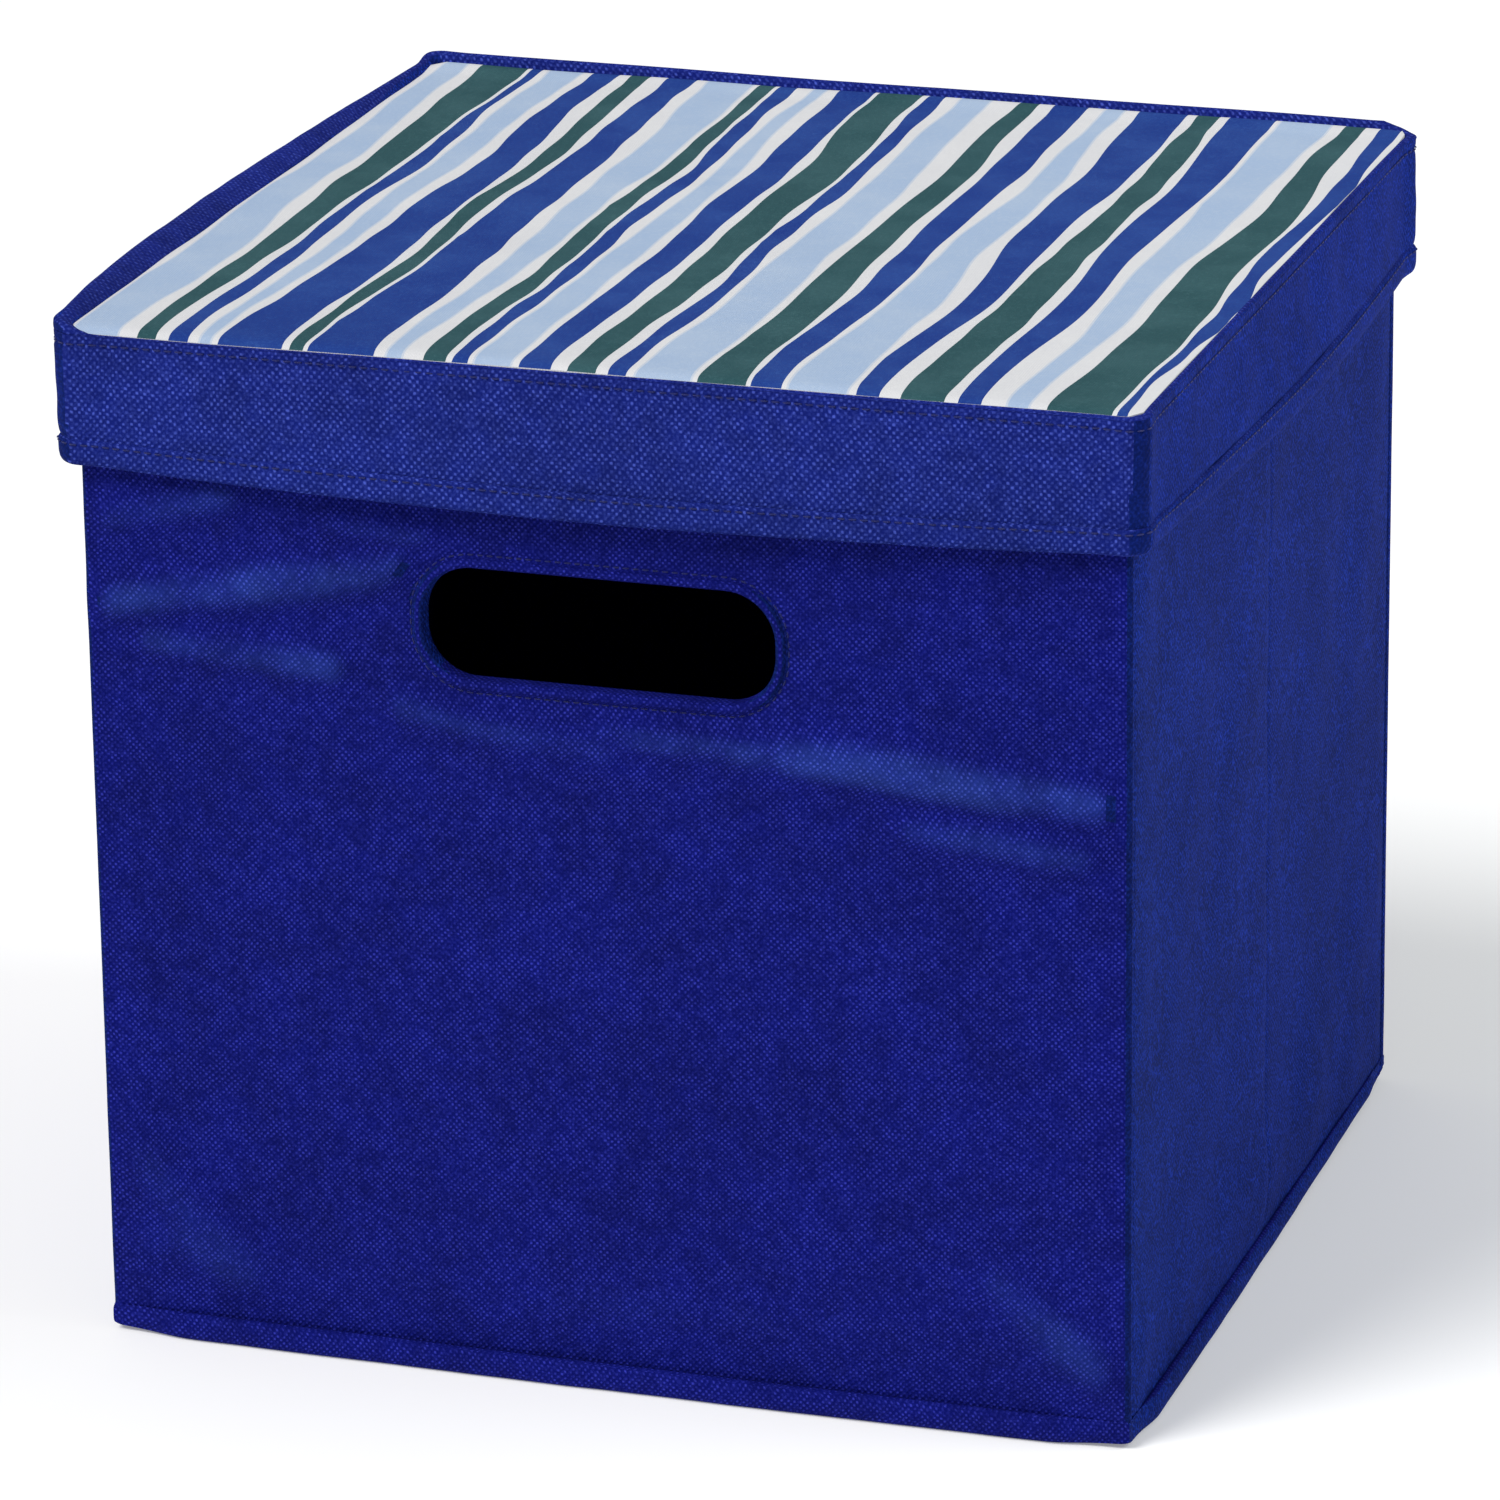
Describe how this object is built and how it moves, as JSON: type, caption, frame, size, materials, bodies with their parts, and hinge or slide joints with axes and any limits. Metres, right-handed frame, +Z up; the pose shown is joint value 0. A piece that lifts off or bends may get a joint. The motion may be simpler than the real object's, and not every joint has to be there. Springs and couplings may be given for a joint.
{
  "type": "fabric storage bin",
  "caption": "Square fabric storage bin with hand slots, a bound bottom edge, a loose base board and a lift-off lid with a striped top.",
  "frame": {"origin": "on the floor under the middle of the bin", "axes": "+Z up, the front with the near hand slot faces -Y, +X is to the right seen from the front"},
  "size_m": [0.332, 0.322, 0.323],
  "materials": {
    "nonwoven": "matt embossed",
    "lining": "matt embossed",
    "printed_canvas": "matt woven",
    "ribbon": "ribbed",
    "chipboard": "matt",
    "thread": "satin"
  },
  "bodies": {
    "bin": {"front_cover": "nonwoven", "back_cover": "nonwoven", "left_cover": "nonwoven", "right_cover": "nonwoven", "bottom_cover": "nonwoven", "front_board": "chipboard", "back_board": "chipboard", "left_front_board": "chipboard", "left_rear_board": "chipboard", "right_front_board": "chipboard", "right_rear_board": "chipboard", "front_lining": "lining", "back_lining": "lining", "left_lining": "lining", "right_lining": "lining", "front_slot_binding": "nonwoven", "back_slot_binding": "nonwoven", "rim_binding": "nonwoven", "bottom_welt": "nonwoven"},
    "base_board": {"insert_board": "chipboard", "insert_wrap": "lining", "pull_tab": "ribbon"},
    "lid": {"lid_print_panel": "printed_canvas", "lid_top_board": "chipboard", "lid_lining": "lining", "lid_lip": "nonwoven", "lid_skirt": "nonwoven", "lid_facing": "lining", "lid_hem": "nonwoven", "lid_front_board": "chipboard", "lid_back_board": "chipboard", "lid_left_board": "chipboard", "lid_right_board": "chipboard"}
  },
  "joints": [
    {"name": "lid_lift", "type": "slide", "parent": "bin", "child": "lid", "axis": [0, 0, 1], "range_m": [0, 0.3]},
    {"name": "base_board_tip", "type": "hinge", "parent": "bin", "child": "base_board", "pos_m": [0, 0.1493, 0.0041], "axis": [-1, 0, 0], "range_deg": [0, 85]}
  ]
}
